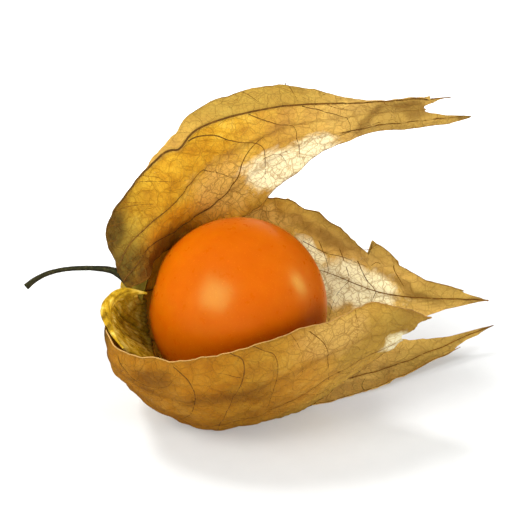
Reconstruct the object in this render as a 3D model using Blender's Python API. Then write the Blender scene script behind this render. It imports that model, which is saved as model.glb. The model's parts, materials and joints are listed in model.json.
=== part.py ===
"""A physalis berry lying in its opened, papery husk.

The husk is one sheet that grew round the stem: five pointed lobes, held by ribs that run from a ring
round the stem to the lobes' tips. Slits have opened it. Its upper flap stands in front of the berry's
shoulder at the stem and passes behind the berry further on, and a roof folds back from its ridge.
The ribs are curves through a few points, and the sheet is lofted between them and given its thickness.

The husk's own frame has x along the stem and the lobes, v up and w to the front. It leans back about x,
as the fruit has rolled on the surface. Its middle is the berry's middle. Lengths below are millimetres.
"""

import math

import bpy
import numpy as np
from mathutils import Matrix

MM = 0.001
LEAN = math.radians(30.0)

BERRY_RADIUS = 10.0
BERRY_SQUASH = 0.985
BERRY_SIDES = 32
BERRY_RINGS = 18
BERRY_POLE = (-9.7, 2.35, 0.0)

SHEET = 0.6
RIB_RAISE = 0.16
RIB_SHARE = 0.6
RIB_FADE = 1.5
FLOOR_BELOW = 12.7
CLEARANCE = 0.45
ROWS_PER_STATION = 4
ACROSS = (0.0, 0.14, 0.38, 0.62, 0.86)
ACROSS_FEW = {"flap_edge": (0.0, 0.5), "notch_ab": (0.0, 0.22, 0.45, 0.7), "tip_a": (0.0, 0.5)}
PUFF = 0.8
PUFFS = {"flap_edge": 0.4, "notch_ab": 0.8, "tip_a": 0.6, "crest": 0.6}
STATIONS = 9

RING = (-11.6, 2.8, 1.9)
COLLAR = (-13.4, 2.6, 3.9)
SHOULDER = (-14.2, 1.6, 7.7)

# Each rib: its angles round the stem, in degrees from the front upward, how far it sinks into a furrow
# there, and its points on the way to its end. A rib has three angles, at the ring, the collar and the
# shoulder, and six points, or else one angle at the ring and eight points.
RIBS = {
    "flap_edge": (
        (-34,),
        0.0,
        (
            (-11.7, 2.3, 3.3),
            (-9.8, 3.3, 3.6),
            (-8.9, 5.4, 2.0),
            (-5.6, 7.6, -5.6),
            (0.6, 10.4, -7.4),
            (6.2, 15.2, -6.6),
            (13.0, 19.3, -5.0),
            (24.2, 20.9, -4.7),
        ),
    ),
    "tip_b": (
        (-4,),
        0.0,
        (
            (-12.3, 3.0, 3.3),
            (-11.0, 4.7, 3.8),
            (-9.4, 6.9, 2.6),
            (-5.9, 9.6, -3.2),
            (-1.4, 13.0, -4.6),
            (5.5, 17.8, -3.8),
            (13.5, 20.2, -3.6),
            (25.9, 21.7, -4.5),
        ),
    ),
    "notch_ab": (
        (20,),
        0.0,
        (
            (-12.8, 4.1, 3.0),
            (-12.0, 6.6, 3.6),
            (-10.0, 8.8, 3.2),
            (-6.7, 12.0, 1.4),
            (-3.4, 15.7, 0.4),
            (4.5, 19.8, -0.6),
            (13.5, 21.6, -2.6),
            (21.3, 22.3, -3.5),
        ),
    ),
    "tip_a": (
        (50,),
        0.0,
        (
            (-13.1, 5.3, 1.9),
            (-14.3, 8.4, 1.5),
            (-12.3, 12.4, 2.2),
            (-8.2, 16.7, 2.8),
            (-3.3, 20.1, 2.6),
            (4.5, 22.1, 1.4),
            (13.5, 22.8, -1.0),
            (23.7, 23.6, -3.5),
        ),
    ),
    "crest": (
        (86,),
        0.0,
        (
            (-13.2, 5.9, -0.1),
            (-14.0, 8.6, -1.8),
            (-11.9, 12.3, -1.6),
            (-7.9, 17.6, -0.4),
            (-3.9, 22.3, -0.3),
            (5.0, 24.6, -1.2),
            (13.5, 23.2, -2.8),
            (21.7, 23.5, -4.2),
        ),
    ),
    "fold_edge": (
        (134, 140, 148),
        0.3,
        (
            (-10.2, 6.2, -9.2),
            (-6.2, 11.6, -8.6),
            (-4.3, 17.4, -5.0),
            (5.2, 19.4, -6.8),
            (13.0, 21.6, -6.8),
            (18.8, 22.6, -6.4),
        ),
    ),
    "back_edge": (
        (134, 140, 148),
        0.3,
        (
            (-10.2, 6.2, -9.2),
            (-4.5, 9.0, -10.4),
            (2.1, 12.6, -8.8),
            (8.6, 11.1, -10.4),
            (17.8, 4.9, -12.8),
            (26.0, 2.1, -13.8),
        ),
    ),
    "tip_c": (
        (174, 176, 180),
        0.1,
        (
            (-10.6, 2.0, -11.0),
            (-4.7, 3.4, -12.9),
            (2.1, 4.6, -13.4),
            (9.0, 4.5, -13.4),
            (17.6, 1.6, -13.8),
            (29.2, 0.9, -14.1),
        ),
    ),
    "notch_cd": (
        (206, 208, 212),
        0.4,
        (
            (-10.4, -3.6, -10.6),
            (-4.6, -5.0, -12.2),
            (1.5, -5.4, -12.9),
            (7.3, -5.4, -13.3),
            (12.6, -4.6, -13.8),
            (18.4, -3.4, -14.2),
        ),
    ),
    "tip_d": (
        (238, 240, 242),
        0.1,
        (
            (-10.4, -7.6, -6.8),
            (-4.6, -10.0, -8.2),
            (1.5, -10.2, -8.8),
            (8.3, -9.1, -9.4),
            (17.8, -6.7, -12.2),
            (30.1, -2.0, -16.0),
        ),
    ),
    "lower_slit": (
        (266, 268, 270),
        0.4,
        (
            (-10.9, -9.4, -2.0),
            (-4.7, -12.6, -2.8),
            (1.5, -12.6, -3.6),
            (7.8, -11.0, -5.8),
            (15.0, -9.4, -8.8),
            (25.8, -4.6, -13.9),
        ),
    ),
    "front_edge": (
        (266, 268, 270),
        0.4,
        (
            (-10.9, -9.4, -2.0),
            (-4.7, -12.6, -2.8),
            (1.5, -12.6, -3.6),
            (7.8, -11.0, -5.8),
            (12.6, -7.4, -1.8),
            (16.9, -4.4, 1.2),
        ),
    ),
    "front_low": (
        (288, 290, 292),
        0.2,
        (
            (-11.4, -8.6, 2.8),
            (-5.0, -12.5, 2.0),
            (1.5, -11.8, 2.4),
            (7.6, -9.0, 3.0),
            (12.8, -5.8, 3.0),
            (18.0, -3.4, 2.6),
        ),
    ),
    "front_mid": (
        (308, 311, 313),
        0.1,
        (
            (-12.1, -7.2, 6.4),
            (-5.2, -10.1, 8.2),
            (1.5, -8.7, 8.8),
            (7.8, -5.8, 7.9),
            (13.7, -3.1, 5.8),
            (19.4, -2.2, 3.8),
        ),
    ),
    "tip_e": (
        (326, 330, 334),
        0.0,
        (
            (-11.9, -4.7, 9.4),
            (-5.3, -5.5, 11.8),
            (1.5, -3.9, 12.2),
            (8.2, -1.8, 10.8),
            (15.1, 0.5, 7.6),
            (20.9, -1.0, 4.0),
        ),
    ),
}

# A split in the back lobe's edge: where it starts and ends, in stations, and how far it stands up.
SPLIT = (6.75, 7.4, 1.8)
# A tuck in the flap's ridge: its station, its half width in stations, and its depth.
TUCK = (4.42, 0.25, 0.8)
# The front lobe's edge is rolled near the stem: the roll's station, half width in stations, and height.
ROLL = (1.5, 0.5, 0.4)

# The sheet's panels, from rib to rib in the order round the stem.
PANELS = (
    ("flap_edge", "tip_b", "notch_ab", "tip_a"),
    ("tip_a", "crest", "fold_edge"),
    ("back_edge", "tip_c", "notch_cd", "tip_d", "lower_slit"),
    ("front_edge", "front_low", "front_mid", "tip_e"),
)
ROOF_PANEL = 1
ROOF_END = 6.5
# Two panels grow together along a rib from the ring to here: a panel, the one after it, stations.
JOINS = (
    (0, ROOF_PANEL, STATIONS - 1.0),
    (ROOF_PANEL, 2, 3.5),
    (2, 3, 6.0),
    (3, 0, 0.25),
)
RIB_SHARES = {
    "tip_a": 0.3,
    "tip_b": 1.0,
    "tip_c": 1.0,
    "tip_d": 1.0,
    "tip_e": 1.0,
    "crest": 0.0,
    "fold_edge": 0.0,
    "flap_edge": 0.0,
}

STEM_PATH = (
    (-10.15, 2.45, 0.0),
    (-10.9, 2.65, 0.0),
    (-11.7, 2.9, 0.0),
    (-12.8, 3.6, -0.1),
    (-14.2, 4.2, -0.2),
    (-16.4, 4.4, -0.3),
    (-18.8, 4.3, -0.3),
    (-20.8, 3.9, -0.2),
    (-22.3, 3.2, 0.0),
    (-23.4, 2.3, 0.2),
)
STEM_RADII = (1.9, 1.5, 1.15, 0.6, 0.42, 0.34, 0.32, 0.33, 0.38, 0.45)
STEM_SIDES = 10


def clear_scene():
    """Removes every object that the file opened with."""
    for old in list(bpy.data.objects):
        bpy.data.objects.remove(old, do_unlink=True)


def lean(points):
    """Turns points of the husk's own frame onto the surface that the fruit lies on, in metres."""
    points = np.asarray(points, dtype=float)
    x, v, w = points[..., 0], points[..., 1], points[..., 2]
    y = v * math.sin(LEAN) - w * math.cos(LEAN)
    z = v * math.cos(LEAN) + w * math.sin(LEAN)
    return np.stack([x, y, z + FLOOR_BELOW], axis=-1) * MM


def catmull_rom(points, places):
    """Reads a smooth curve through points at places, where place 2.0 is the third point."""
    points = np.asarray(points, dtype=float)
    before = 2 * points[0] - points[1]
    after = 2 * points[-1] - points[-2]
    padded = np.vstack([before, points, after])
    found = []
    for place in places:
        first = min(int(place), len(points) - 2)
        f = place - first
        a, b, c, d = padded[first : first + 4]
        found.append(
            0.5
            * (
                2 * b
                + (c - a) * f
                + (2 * a - 5 * b + 4 * c - d) * f**2
                + (3 * b - a - 3 * c + d) * f**3
            )
        )
    return np.array(found)


def rib_points(name):
    """The points of one rib: those round the stem, by their angles, and then its own."""
    angles, furrow, points = RIBS[name]
    start = []
    for degrees, (x, middle, radius) in zip(angles, (RING, COLLAR, SHOULDER)):
        turn = math.radians(degrees)
        start.append((x, middle + radius * math.sin(turn), radius * math.cos(turn)))
    path = np.array(start + list(points))
    straight = path[0] + (path[3] - path[0]) * np.array([[1 / 3], [2 / 3]])
    path[1:3] += (straight - path[1:3]) * furrow
    return path


def bell(places, station, half_width):
    """Rises to 1 at a station and falls off on both sides of it."""
    return np.exp(-(((places - station) / half_width) ** 2))


def rib_curve(name, places):
    """One rib's curve, with the split in the back lobe's edge and the tuck in the flap's ridge."""
    curve = catmull_rom(rib_points(name), places)
    if name == "back_edge":
        first, last, height = SPLIT
        rise = np.clip((last - places) / (last - first), 0.0, 1.0) * (places >= first)
        curve[:, 1] += height * rise
    if name == "tip_a":
        station, half_width, depth = TUCK
        curve[:, 1] -= depth * bell(places, station, half_width)
    return curve


def row_places():
    """How far along the ribs each row of the sheet lies, in stations."""
    count = (STATIONS - 1) * ROWS_PER_STATION
    return np.linspace(0.0, STATIONS - 1.0, count + 1)


def puff_share(places):
    """How far the sheet swells between its ribs: flat at the ring and at the tips."""
    along = places / (STATIONS - 1.0)
    return np.sin(np.pi * np.clip(along, 0, 1)) ** 0.7


def panel_grid(names):
    """One panel's rows of points, and for each column how much its rib stands out."""
    places = row_places()
    curves = [rib_curve(name, places) for name in names]
    columns = []
    raises = []
    for left, right, name in zip(curves, curves[1:], names):
        along = np.gradient(left + right, axis=0)
        outward = np.cross(along, right - left)
        outward /= np.linalg.norm(outward, axis=1, keepdims=True) + 1e-9
        width = np.linalg.norm(right - left, axis=1)
        puff = PUFFS.get(name, 1.0) * PUFF * 4 * puff_share(places) * np.minimum(width / 6.0, 1.0)
        for share in ACROSS_FEW.get(name, ACROSS):
            swell = puff * share * (1 - share)
            columns.append(left + (right - left) * share + outward * swell[:, None])
            raises.append(rib_height(name, places) if share == 0.0 else 0.0 * places)
    columns.append(curves[-1])
    raises.append(rib_height(names[-1], places))
    return np.array(columns), np.array(raises)


def rib_height(name, places):
    """How far a rib stands out of both faces: a lobe's own rib most, and less towards its two ends."""
    height = RIB_RAISE * RIB_SHARES.get(name, RIB_SHARE)
    height = height * np.clip((places - 1.0) / RIB_FADE, 0.0, 1.0)
    height = height * np.clip((STATIONS - 1 - places) / RIB_FADE, 0.0, 1.0)
    if name == "tip_e":
        station, half_width, roll = ROLL
        height = height + roll * bell(places, station, half_width)
    return height


def keep_off_berry(points):
    """Pushes points outward where they would come too near to the berry."""
    nearest = BERRY_RADIUS + CLEARANCE + SHEET / 2
    distance = np.linalg.norm(points, axis=-1, keepdims=True)
    return points * np.maximum(1.0, nearest / distance)


def sheet_mesh():
    """The husk's middle surface: points, the raise at each, and its triangles."""
    points = []
    raises = []
    faces = []
    grids = [panel_grid(names) for names in PANELS]
    places = row_places()
    ids = []
    for columns, rib in grids:
        columns = keep_off_berry(columns)
        first = len(points)
        wide, tall = columns.shape[:2]
        points.extend(columns.reshape(-1, 3))
        raises.extend(rib.reshape(-1))
        ids.append(np.arange(first, first + wide * tall).reshape(wide, tall))
    for panel, following, joined in JOINS:
        together = places <= joined + 1e-6
        ids[following][0, together] = ids[panel][-1, together]
    for number, grid in enumerate(ids):
        rows = np.arange(len(places) - 1)
        if number == ROOF_PANEL:
            rows = rows[places[1:] <= ROOF_END]
        for a, b in zip(grid, grid[1:]):
            for row in rows:
                faces.append((a[row], a[row + 1], b[row + 1]))
                faces.append((a[row], b[row + 1], b[row]))
    return np.array(points), np.array(raises), np.array(faces)


def thick_sheet(points, raises, faces, thickness):
    """Gives a sheet its thickness: the same triangles on both faces, joined round the free edges."""
    corners = points[faces]
    face_normals = np.cross(corners[:, 1] - corners[:, 0], corners[:, 2] - corners[:, 0])
    normals = np.zeros_like(points)
    for corner in range(3):
        np.add.at(normals, faces[:, corner], face_normals)
    normals /= np.linalg.norm(normals, axis=1, keepdims=True) + 1e-12
    half = (thickness / 2 + raises)[:, None]
    outer = points + normals * half
    inner = points - normals * half
    count = len(points)
    both = [tuple(face) for face in faces] + [tuple(f + count for f in face[::-1]) for face in faces]
    edges = {}
    for a, b, c in faces:
        for edge in ((a, b), (b, c), (c, a)):
            edges[edge] = edges.get(edge, 0) + 1
    for a, b in edges:
        if (b, a) not in edges:
            both.append((b, a, a + count))
            both.append((b, a + count, b + count))
    return np.vstack([outer, inner]), both


def mesh_object(name, vertices, faces, material):
    """Makes one object of a closed mesh, without the points that no face uses."""
    used = sorted({corner for face in faces for corner in face})
    place = {old: new for new, old in enumerate(used)}
    mesh = bpy.data.meshes.new(name)
    mesh.from_pydata(
        [tuple(vertices[old]) for old in used],
        [],
        [tuple(place[corner] for corner in face) for face in faces],
    )
    mesh.materials.append(material)
    mesh.shade_smooth()
    mesh.update()
    made = bpy.data.objects.new(name, mesh)
    bpy.context.collection.objects.link(made)
    return made


def plain_material(name, colour, roughness):
    """A Principled material of one colour."""
    material = bpy.data.materials.new(name)
    material.use_nodes = True
    shader = material.node_tree.nodes["Principled BSDF"]
    shader.inputs["Base Color"].default_value = (*colour, 1.0)
    shader.inputs["Roughness"].default_value = roughness
    shader.inputs["Metallic"].default_value = 0.0
    return material


def make_husk():
    """The papery husk, with a flat spot where it lies on the surface."""
    points, raises, faces = sheet_mesh()
    half = SHEET / 2 * MM
    placed = lean(points)
    lying = placed[:, 2] < half
    placed[lying, 2] = half
    raises[lying] = 0.0
    vertices, both = thick_sheet(placed, raises * MM, faces, SHEET * MM)
    count = len(placed)
    vertices[:count, 2] = np.maximum(vertices[:count, 2], 0.0)
    flat = np.concatenate([lying, lying])
    level = np.concatenate([np.zeros(count), np.full(count, SHEET * MM)])
    vertices[flat, 2] = level[flat]
    return mesh_object("husk", vertices, both, plain_material("husk_paper", (0.52, 0.29, 0.06), 0.7))


def across(direction):
    """Two directions across a given one."""
    direction = direction / np.linalg.norm(direction)
    side = np.cross(direction, (0.0, 0.0, 1.0))
    side /= np.linalg.norm(side)
    return side, np.cross(direction, side)


def turned_solid(name, centres, radii, sides, material):
    """A closed round solid: rings of given radii round the centres, capped at both ends."""
    centres = np.asarray(centres)
    vertices = []
    faces = []
    for number, (centre, radius) in enumerate(zip(centres, radii)):
        before = centres[max(number - 1, 0)]
        after = centres[min(number + 1, len(centres) - 1)]
        side, up = across(after - before)
        for step in range(sides):
            turn = 2 * math.pi * step / sides
            vertices.append(centre + radius * (math.cos(turn) * side + math.sin(turn) * up))
    for ring in range(len(centres) - 1):
        for step in range(sides):
            a = ring * sides + step
            b = ring * sides + (step + 1) % sides
            faces.append((a, b, b + sides))
            faces.append((a, b + sides, a + sides))
    last = (len(centres) - 1) * sides
    vertices.append(centres[0])
    vertices.append(centres[-1])
    for step in range(sides):
        following = (step + 1) % sides
        faces.append((following, step, len(vertices) - 2))
        faces.append((last + step, last + following, len(vertices) - 1))
    return mesh_object(name, vertices, faces, material)


def make_berry():
    """The ripe berry: a little flattened, with a shallow dimple at the stem."""
    pole = lean(BERRY_POLE) - lean((0.0, 0.0, 0.0))
    axis = pole / np.linalg.norm(pole)
    middle = lean((0.0, 0.0, 0.0))
    centres = []
    radii = []
    for ring in range(BERRY_RINGS + 1):
        turn = math.pi * (0.035 + 0.93 * ring / BERRY_RINGS)
        along = math.cos(turn) * BERRY_RADIUS * BERRY_SQUASH
        centres.append(middle + axis * along * MM)
        radii.append(math.sin(turn) * BERRY_RADIUS * MM)
    return turned_solid(
        "berry", centres, radii, BERRY_SIDES, plain_material("berry_skin", (0.78, 0.17, 0.005), 0.35)
    )


def make_stem():
    """The stalk, which widens into the seat that holds the berry."""
    centres = lean(STEM_PATH)
    radii = np.array(STEM_RADII) * MM
    return turned_solid(
        "stem", centres, radii, STEM_SIDES, plain_material("stem_bark", (0.07, 0.06, 0.025), 0.75)
    )


def centre_over_origin(objects):
    """Moves the meshes so that the origin lies under the middle of them all, on the surface."""
    places = np.array([corner.co[:2] for made in objects for corner in made.data.vertices])
    middle = (places.min(axis=0) + places.max(axis=0)) / 2
    for made in objects:
        made.data.transform(Matrix.Translation((-middle[0], -middle[1], 0.0)))


def main():
    """Builds the whole part."""
    clear_scene()
    centre_over_origin([make_husk(), make_berry(), make_stem()])


main()
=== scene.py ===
"""The finished look of a physalis berry in its opened, papery husk.

Every shape is worked out in the husk's own frame, in millimetres: x along the stem and the lobes, v up and
w to the front, with the berry's middle as its origin. place() leans it back onto the surface.
"""

import json
import math
import random

import bpy
import numpy as np
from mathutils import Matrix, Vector, noise

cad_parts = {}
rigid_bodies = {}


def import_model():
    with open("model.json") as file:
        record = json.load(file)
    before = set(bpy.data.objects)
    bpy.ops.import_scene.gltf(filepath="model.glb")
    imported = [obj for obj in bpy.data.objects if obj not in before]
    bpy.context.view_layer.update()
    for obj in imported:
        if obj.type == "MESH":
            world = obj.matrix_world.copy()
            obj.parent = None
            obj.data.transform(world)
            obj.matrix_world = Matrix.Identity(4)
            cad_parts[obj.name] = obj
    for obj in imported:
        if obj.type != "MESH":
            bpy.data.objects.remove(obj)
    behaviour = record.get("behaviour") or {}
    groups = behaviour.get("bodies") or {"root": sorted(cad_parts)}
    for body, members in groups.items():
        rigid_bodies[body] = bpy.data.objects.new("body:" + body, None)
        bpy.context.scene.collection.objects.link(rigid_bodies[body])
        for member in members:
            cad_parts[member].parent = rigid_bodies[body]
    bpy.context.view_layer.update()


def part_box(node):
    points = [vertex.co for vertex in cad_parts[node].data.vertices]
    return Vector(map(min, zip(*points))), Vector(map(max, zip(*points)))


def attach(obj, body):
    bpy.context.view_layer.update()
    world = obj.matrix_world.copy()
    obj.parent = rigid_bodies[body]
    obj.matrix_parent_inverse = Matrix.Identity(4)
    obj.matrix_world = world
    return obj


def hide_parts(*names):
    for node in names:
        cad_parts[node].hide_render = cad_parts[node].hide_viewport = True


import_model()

MM = 0.001
LEAN = math.radians(30.0)
FLOOR_BELOW = 12.7
BERRY_LOW, BERRY_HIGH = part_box("berry")
BERRY_X = (BERRY_LOW.x + BERRY_HIGH.x) / 2
BERRY_Y = (BERRY_LOW.y + BERRY_HIGH.y) / 2
BERRY_RADIUS = 10.0
BERRY_SQUASH = 0.985
BERRY_POLE = (-9.7, 2.35, 0.0)
BERRY_RINGS, BERRY_SIDES = 96, 144
# The dimples at the berry's stem and at its far end: depth, and half width in radians.
STEM_DIMPLE = (0.6, 0.16)
FAR_DIMPLE = (0.15, 0.07)

# The sheet's thickness, how high its middle lies at least above the surface, and its gap to the berry.
SHEET = 0.16
LYING = 0.14
CLEARANCE = 0.3
# How finely each panel is divided: rows for each station, and columns between two ribs.
ROWS = 22
COLUMNS = 16
STATIONS = 9
# How far the sheet follows a round curve over the ribs, and how far it swells out between them.
ROUNDNESS = 0.55
PUFF = 0.42
PUFFS = {"flap_edge": 0.6, "notch_ab": 0.7, "tip_a": 0.2, "crest": 0.5}

# The circles that the ribs start through, round the stem: x, the middle's v, and radius.
RING = (-11.6, 2.8, 1.9)
COLLAR = (-13.4, 2.6, 3.9)
SHOULDER = (-14.2, 1.6, 7.7)
# How far the collar and the shoulder are drawn in at the back.
BACK_DRAWN_IN = 0.9

# The husk's ribs, as in the CAD source: the angles round the stem, the furrow there, and the points. A rib
# has three angles and six points, or else one angle and eight points.
RIBS = {
    "flap_edge": ((-34,), 0.0, (
        (-11.7, 2.3, 3.3), (-9.8, 3.3, 3.6), (-8.9, 5.4, 2.0), (-5.6, 7.6, -5.6),
        (0.6, 10.4, -7.4), (6.2, 15.2, -6.6), (13.0, 19.3, -5.0), (24.2, 20.9, -4.7),
    )),
    "tip_b": ((-4,), 0.0, (
        (-12.3, 3.0, 3.3), (-11.0, 4.7, 3.8), (-9.4, 6.9, 2.6), (-5.9, 9.6, -3.2),
        (-1.4, 13.0, -4.6), (5.5, 17.8, -3.8), (13.5, 20.2, -3.6), (25.9, 21.7, -4.5),
    )),
    "notch_ab": ((20,), 0.0, (
        (-12.8, 4.1, 3.0), (-12.0, 6.6, 3.6), (-10.0, 8.8, 3.2), (-6.7, 12.0, 1.4),
        (-3.4, 15.7, 0.4), (4.5, 19.8, -0.6), (13.5, 21.6, -2.6), (21.3, 22.3, -3.5),
    )),
    "tip_a": ((50,), 0.0, (
        (-13.1, 5.3, 1.9), (-14.3, 8.4, 1.5), (-12.3, 12.4, 2.2), (-8.2, 16.7, 2.8),
        (-3.3, 20.1, 2.6), (4.5, 22.1, 1.4), (13.5, 22.8, -1.0), (23.7, 23.6, -3.5),
    )),
    "crest": ((86,), 0.0, (
        (-13.2, 5.9, -0.1), (-14.0, 8.6, -1.8), (-11.9, 12.3, -1.6), (-7.9, 17.6, -0.4),
        (-3.9, 22.3, -0.3), (5.0, 24.6, -1.2), (13.5, 23.2, -2.8), (21.7, 23.5, -4.2),
    )),
    "fold_edge": ((134, 140, 148), 0.3, (
        (-10.2, 6.2, -9.2), (-6.2, 11.6, -8.6), (-4.3, 17.4, -5.0),
        (5.2, 19.4, -6.8), (13.0, 21.6, -6.8), (18.8, 22.6, -6.4),
    )),
    "back_edge": ((134, 140, 148), 0.3, (
        (-10.2, 6.2, -9.2), (-4.5, 9.0, -10.4), (2.1, 12.6, -8.8),
        (8.6, 11.1, -10.4), (17.8, 4.9, -12.8), (26.0, 2.1, -13.8),
    )),
    "tip_c": ((174, 176, 180), 0.1, (
        (-10.6, 2.0, -11.0), (-4.7, 3.4, -12.9), (2.1, 4.6, -13.4),
        (9.0, 4.5, -13.4), (17.6, 1.6, -13.8), (29.2, 0.9, -14.1),
    )),
    "notch_cd": ((206, 208, 212), 0.4, (
        (-10.4, -3.6, -10.6), (-4.6, -5.0, -12.2), (1.5, -5.4, -12.9),
        (7.3, -5.4, -13.3), (12.6, -4.6, -13.8), (18.4, -3.4, -14.2),
    )),
    "tip_d": ((238, 240, 242), 0.1, (
        (-10.4, -7.6, -6.8), (-4.6, -10.0, -8.2), (1.5, -10.2, -8.8),
        (8.3, -9.1, -9.4), (17.8, -6.7, -12.2), (30.1, -2.0, -16.0),
    )),
    "lower_slit": ((266, 268, 270), 0.4, (
        (-10.9, -9.4, -2.0), (-4.7, -12.6, -2.8), (1.5, -12.6, -3.6),
        (7.8, -11.0, -5.8), (15.0, -9.4, -8.8), (25.8, -4.6, -13.9),
    )),
    "front_edge": ((266, 268, 270), 0.4, (
        (-10.9, -9.4, -2.0), (-4.7, -12.6, -2.8), (1.5, -12.6, -3.6),
        (7.8, -11.0, -5.8), (12.6, -7.4, -1.8), (16.9, -4.4, 1.2),
    )),
    "front_low": ((288, 290, 292), 0.2, (
        (-11.4, -8.6, 2.8), (-5.0, -12.5, 2.0), (1.5, -11.8, 2.4),
        (7.6, -9.0, 3.0), (12.8, -5.8, 3.0), (18.0, -3.4, 2.6),
    )),
    "front_mid": ((308, 311, 313), 0.1, (
        (-12.1, -7.2, 6.4), (-5.2, -10.1, 8.2), (1.5, -8.7, 8.8),
        (7.8, -5.8, 7.9), (13.7, -3.1, 5.8), (19.4, -2.2, 3.8),
    )),
    "tip_e": ((326, 330, 334), 0.0, (
        (-11.9, -4.7, 9.4), (-5.3, -5.5, 11.8), (1.5, -3.9, 12.2),
        (8.2, -1.8, 10.8), (15.1, 0.5, 7.6), (20.9, -1.0, 4.0),
    )),
}
# A split in the back lobe's edge: where it starts and ends, in stations, and how far it stands up.
SPLIT = (6.75, 7.4, 1.8)
FLAP, ROOF, BACK, FRONT = 0, 1, 2, 3
PANELS = (
    ("flap_edge", "tip_b", "notch_ab", "tip_a"),
    ("tip_a", "crest", "fold_edge"),
    ("back_edge", "tip_c", "notch_cd", "tip_d", "lower_slit"),
    ("front_edge", "front_low", "front_mid", "tip_e"),
)
# The ribs next to a panel's first and last one where panels have grown together, and up to which station.
BESIDE = {
    FLAP: (None, 0.0, None, 0.0),
    ROOF: (None, 0.0, "tip_c", 3.5),
    BACK: ("crest", 3.5, "front_low", 6.0),
    FRONT: ("tip_d", 6.0, None, 0.0),
}
# Two panels grow together along a rib from the ring to here: a panel, the one after it, stations.
JOINS = ((FLAP, ROOF, STATIONS - 1.0), (ROOF, BACK, 3.5), (BACK, FRONT, 6.0), (FRONT, FLAP, 0.25))
# The roof's first and last station, and the stations over which it closes onto the ridge.
ROOF_ROWS = (0.0, 7.8)
ROOF_CLOSES = (6.9, 7.8)
# A tuck in the ridge, where the flap is pinched: its station, half width in stations, and depth.
TUCK = (4.42, 0.2, 0.9)
# How far the sheet's end is hollowed between two ribs, in stations.
SCOOPS = {
    "flap_edge": -0.08, "tip_b": 0.15, "notch_ab": 0.1, "back_edge": 0.2, "tip_c": 0.3, "notch_cd": 0.3,
    "tip_d": 0.25, "front_edge": 0.1, "front_low": 0.1, "front_mid": 0.05,
}

# Each panel's first and last edge: the station from which it is free and torn, where 9 is past the end.
FREE_FROM = {FLAP: (4.0, 9.0), ROOF: (9.0, 3.5), BACK: (3.5, 6.0), FRONT: (6.0, 3.0)}
# Wrinkles: height and size of the broad and the small ones, and the quilting's height, size and seam width.
BROAD_WRINKLES = (0.22, 5.0)
SMALL_WRINKLES = (0.07, 1.3)
QUILTING = (0.16, 2.3, 0.45)

STEM_PATH = (
    (-10.15, 2.45, 0.0), (-10.9, 2.65, 0.0), (-11.7, 2.9, 0.0), (-12.8, 3.6, -0.1), (-14.2, 4.2, -0.2),
    (-16.4, 4.4, -0.3), (-18.8, 4.3, -0.3), (-20.8, 3.9, -0.2), (-22.3, 3.2, 0.0), (-23.4, 2.3, 0.2),
)
STEM_RADII = (1.9, 1.5, 1.0, 0.55, 0.36, 0.27, 0.25, 0.26, 0.3, 0.36)
STEM_RINGS, STEM_SIDES, STEM_RIDGES = 90, 18, 5


def place(points):
    """Turns points of the husk's own frame into the CAD frame, in metres."""
    points = np.asarray(points, dtype=float)
    x, v, w = points[..., 0], points[..., 1], points[..., 2]
    y = v * math.sin(LEAN) - w * math.cos(LEAN)
    z = v * math.cos(LEAN) + w * math.sin(LEAN)
    return np.stack([x, y, z + FLOOR_BELOW], axis=-1) * MM + np.array([BERRY_X, BERRY_Y, 0.0])


def smooth(value, low, high):
    """Rises smoothly from 0 to 1 between low and high."""
    share = np.clip((value - low) / (high - low), 0.0, 1.0)
    return share * share * (3 - 2 * share)


def cubic(before, left, right, after, f):
    """The Catmull-Rom curve between left and right."""
    return 0.5 * (
        2 * left
        + (right - before) * f
        + (2 * before - 5 * left + 4 * right - after) * f**2
        + (3 * left - before - 3 * right + after) * f**3
    )


def catmull_rom(points, places):
    """Reads a smooth curve through points at an array of places."""
    points = np.asarray(points, dtype=float)
    padded = np.vstack([2 * points[0] - points[1], points, 2 * points[-1] - points[-2]])
    first = np.clip(places.astype(int), 0, len(points) - 2)
    f = (places - first)[..., None]
    return cubic(padded[first], padded[first + 1], padded[first + 2], padded[first + 3], f)


def rib_points(name):
    """The points of one rib: three round the stem, by their angles, and then its own."""
    angles, furrow, points = RIBS[name]
    start = []
    for degrees, (x, middle, radius) in zip(angles, (RING, COLLAR, SHOULDER)):
        turn = math.radians(degrees)
        x -= BACK_DRAWN_IN * min(math.cos(turn), 0.0) * (radius > RING[2])
        start.append((x, middle + radius * math.sin(turn), radius * math.cos(turn)))
    path = np.array(start + list(points))
    if len(angles) == 1:
        return path
    straight = path[0] + (path[3] - path[0]) * np.array([[1 / 3], [2 / 3]])
    path[1:3] += (straight - path[1:3]) * furrow
    return path


def rib_curve(name, places):
    """One rib's curve, with the split in the back lobe's edge."""
    curve = catmull_rom(rib_points(name), places)
    if name == "back_edge":
        first, last, height = SPLIT
        curve[..., 1] += height * np.clip((last - places) / (last - first), 0.0, 1.0) * (places >= first)
    if name == "tip_a":
        station, half, depth = TUCK
        curve[..., 1] -= depth * np.exp(-(((places - station) / half) ** 2))
    if name in ("crest", "fold_edge"):
        ridge = catmull_rom(rib_points("tip_a"), places)
        closing = smooth(places, *ROOF_CLOSES)[..., None]
        curve = curve + (ridge - curve) * closing
    return curve


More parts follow.
